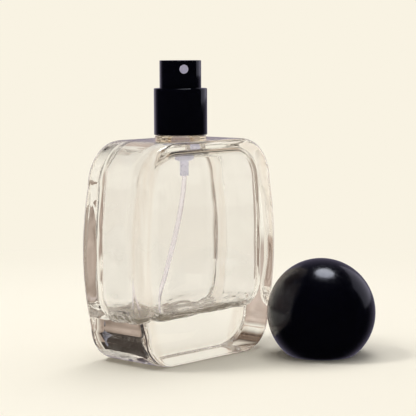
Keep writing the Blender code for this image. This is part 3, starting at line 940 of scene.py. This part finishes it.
def make_sheet(name, rows, material):
    """A sheet through rows of points, with its UV map running across and up."""
    form = bmesh.new()
    uv = form.loops.layers.uv.new("place")
    grid = [[form.verts.new(point) for point in row] for row in rows]
    across = len(rows[0]) - 1
    up = len(rows) - 1
    for j in range(up):
        for i in range(across):
            corners = [(i, j), (i + 1, j), (i + 1, j + 1), (i, j + 1)]
            face = form.faces.new([grid[v][u] for u, v in corners])
            for loop, (u, v) in zip(face.loops, corners):
                loop[uv].uv = (u / across, v / up)
    mesh = bpy.data.meshes.new(name)
    form.to_mesh(mesh)
    form.free()
    sheet = add_object(name, mesh)
    dress(sheet, material)
    only_seen_through_glass(sheet)


def between(start, end):
    """Evenly spaced values, both ends included."""
    steps = 16
    return [start + (end - start) * step / steps for step in range(steps + 1)]


def make_card(name, turns, elevations, material):
    """Part of a sphere round the flask: turns from the camera and elevations, in degrees."""
    radius = 1.2
    rows = [[place_round(turn, elevation, radius) for turn in between(*turns)]
            for elevation in between(*elevations)]
    make_sheet(name, rows, material)


def make_screen(name, turns, radius, heights, material):
    """Part of an upright cylinder round the flask: turns from the camera, in degrees."""
    rise = Vector((0.0, 0.0, 1.0))
    rows = [[place_round(turn, 0.0, radius) + rise * height for turn in between(*turns)]
            for height in between(*heights)]
    make_sheet(name, rows, material)


def dome_material():
    """Cream as far up as the camera looks, and brown overhead, which tints the glass's edges."""
    material, tree, light_color = glowing_material("studio_dome")
    stops = [
        (0.0, CREAM),
        (0.30, CREAM),
        (0.55, (0.62, 0.50, 0.40)),
        (0.75, (0.22, 0.15, 0.10)),
        (1.0, (0.45, 0.36, 0.28)),
    ]
    ramp = tree.nodes.new("ShaderNodeValToRGB")
    for position, color in stops[1:-1]:
        ramp.color_ramp.elements.new(position)
    for element, (position, color) in zip(ramp.color_ramp.elements, stops):
        element.position = position
        element.color = (*color, 1.0)
    height = coordinates(tree, "Object")[2]
    tree.links.new(math_node(tree, 'DIVIDE', height, ROOM_RADIUS), ramp.inputs["Fac"])
    tree.links.new(ramp.outputs["Color"], light_color)
    return material


def make_backdrop():
    """Floor and dome of one evenly lit cream, round the whole object."""
    form = bmesh.new()
    bmesh.ops.create_circle(form, cap_ends=True, radius=ROOM_RADIUS, segments=96)
    mesh = bpy.data.meshes.new("studio_floor")
    form.to_mesh(mesh)
    form.free()
    floor = add_object("studio_floor", mesh)
    floor.location.z = -FLOOR_DROP
    dress(floor, floor_material())
    floor.visible_glossy = False

    form = bmesh.new()
    inside_floor = 0.99
    bmesh.ops.create_uvsphere(form, u_segments=64, v_segments=32, radius=ROOM_RADIUS * inside_floor)
    mesh = bpy.data.meshes.new("studio_dome")
    form.to_mesh(mesh)
    form.free()
    dome = add_object("studio_dome", mesh)
    dress(dome, dome_material())
    dome.visible_diffuse = False
    dome.visible_glossy = False
    dome.visible_shadow = False


def make_world():
    """Fill light for matt surfaces. Gloss mirrors a dim room with a violet backdrop instead."""
    world = bpy.data.worlds.new("studio")
    world.use_nodes = True
    tree = world.node_tree
    background = tree.nodes["Background"]
    place = tree.nodes.new("ShaderNodeTexCoord")
    toward_back = tree.nodes.new("ShaderNodeVectorMath")
    toward_back.operation = 'DOT_PRODUCT'
    toward_back.inputs[1].default_value = place_round(180.0, 0.0, 1.0)
    tree.links.new(place.outputs["Generated"], toward_back.inputs[0])
    at_back = smooth_step(tree, toward_back.outputs["Value"], 0.3, 0.95)
    room = mixed(tree, (MIRRORED_ROOM, MIRRORED_ROOM, MIRRORED_ROOM), MIRRORED_BACKDROP, at_back)
    rays = tree.nodes.new("ShaderNodeLightPath")
    seen = mixed(tree, (FILL, FILL, FILL), room, rays.outputs["Is Glossy Ray"])
    tree.links.new(seen, background.inputs["Color"])
    bpy.context.scene.world = world


def make_lights():
    """One mirrored softbox, three that light matt surfaces only, and two faint rim lights."""
    base = (0.0, 0.0, 0.0)
    flask_middle = (0.0, 0.0, 0.05)
    behind = 0.38
    aside = 0.28
    mirrored_spot = place_round(180.0, 0.0, behind) + right_of_camera() * aside
    mirrored_spot.z = CEILING
    mirrored = make_light("mirrored_softbox", mirrored_spot, base, (1.1, 1.1), 9.0,
                          (0.96, 0.98, 1.0))
    mirrored.data.shape = 'ELLIPSE'
    mirrored.visible_diffuse = False

    overhead = make_light("overhead_softbox", (0.0, 0.0, CEILING), base, (1.3, 1.3), 2.4)
    key_spot = place_round(-85.0, 57.0, LAMP_DISTANCE)
    key = make_light("key_softbox", key_spot, base, (0.35, 0.35), 21.0)
    back_spot = place_round(165.0, 62.0, LAMP_DISTANCE)
    back = make_light("back_softbox", back_spot, base, (0.6, 0.6), 3.5)
    for lamp in (overhead, key, back):
        lamp.visible_glossy = False

    right_spot = place_round(124.0, 22.0, RIM_LAMP_DISTANCE)
    make_light("right_softbox", right_spot, flask_middle, (1.1, 0.8), 0.7, (0.90, 0.88, 1.0))
    left_spot = place_round(-150.0, 15.0, RIM_LAMP_DISTANCE)
    make_light("left_softbox", left_spot, flask_middle, (0.8, 0.8), 0.3, (0.95, 0.88, 1.0))


def make_cards():
    """What the thick glass bends into view: dark and brown cards and screens round the flask."""
    near_black = card_material("near_black", (0.008, 0.005, 0.004), (0.06, 0.045, 0.035),
                               soft_foot=False)
    dark_brown = card_material("dark_brown", (0.02, 0.012, 0.008), (0.30, 0.21, 0.15))
    brown = card_material("brown", (0.16, 0.11, 0.075), (0.60, 0.48, 0.39),
                          soft_foot=False, soft_top=False)
    tan = card_material("tan", (0.20, 0.13, 0.09), (0.75, 0.62, 0.52))
    pink = card_material("pink", (0.42, 0.32, 0.26), (0.78, 0.69, 0.64),
                         soft_foot=False, soft_top=False)
    pink_top = 7.7
    make_card("dark_card_right", (60.0, 130.0), (pink_top, 70.0), near_black)
    make_card("pink_card_right", (60.0, 130.0), (0.5, pink_top), pink)
    make_screen("screen_right", (60.0, 126.0), 0.20, (0.0, 0.034), brown)
    make_screen("screen_back", (114.0, 166.0), 0.24, (0.0, 0.10), brown)
    make_screen("screen_left", (-134.0, -62.0), 0.22, (0.0, 0.14), tan)
    make_card("dark_card_left", (-165.0, -95.0), (24.0, 84.0), dark_brown)


def make_studio():
    make_backdrop()
    make_world()
    make_cards()
    make_lights()
    scene = bpy.context.scene
    scene.view_settings.view_transform = 'Standard'
    scene.cycles.max_bounces = GLASS_BOUNCES
    scene.cycles.transmission_bounces = GLASS_BOUNCES
    scene.cycles.glossy_bounces = GLASS_BOUNCES


# ---------------------------------------------------------------- assembly

make_camera()

glass = glass_material()
gloss = gloss_material("black_gloss", (0.0010, 0.0010, 0.0026), 0.09, 0.5)
cap_gloss = gloss_material("cap_gloss", (0.0008, 0.0008, 0.0024), 0.16, 0.32)
# Painted light: the pale plastics dressed in this glow a little, for lamp light that reaches them
# through the glass
natural = moulded_material("natural_plastic", (0.97, 0.96, 0.98), 0.3, 0.3, 0.15)
white_seal = moulded_material("white_seal", (0.8, 0.8, 0.78), 0.6)
black_seal = moulded_material("black_seal", (0.03, 0.03, 0.03), 0.6)
nozzle = moulded_material("nozzle_plastic", (0.62, 0.60, 0.80), 0.35)
liner = moulded_material("liner_plastic", (0.03, 0.03, 0.035), 0.4)
# Painted light: the dip tube glows faintly, for lamp light that reaches it through the glass
tubing = moulded_material("tube_plastic", (0.985, 0.97, 1.0), 0.10, 1.0, 0.03)
aluminium = metal_material("ferrule_aluminium", (0.75, 0.76, 0.78), 0.28, (1.0, 1.0, 0.05))
steel = metal_material("valve_steel", (0.62, 0.62, 0.64), 0.22, (1.0, 1.0, 0.3))

make_flask(glass)
make_collar(gloss)
nozzle_place = make_button(gloss)
make_spray_disc(nozzle, nozzle_place)
make_pickup_tube(tubing)
make_pump_body(natural)
make_spring_coil(steel)
cap_spot = make_ball_cap(cap_gloss)
make_cap_sleeve(liner, cap_spot)

KEPT_NODES = {
    "neck_gasket": white_seal,
    "crimp_ferrule": aluminium,
    "turret": natural,
    "stem_gasket": black_seal,
    "inlet_ball": steel,
    "poppet": natural,
    "piston": natural,
    "stem": natural,
    "actuator_core": natural,
}
for node, finish in KEPT_NODES.items():
    dress(frame["nodes"][node], finish)

make_studio()
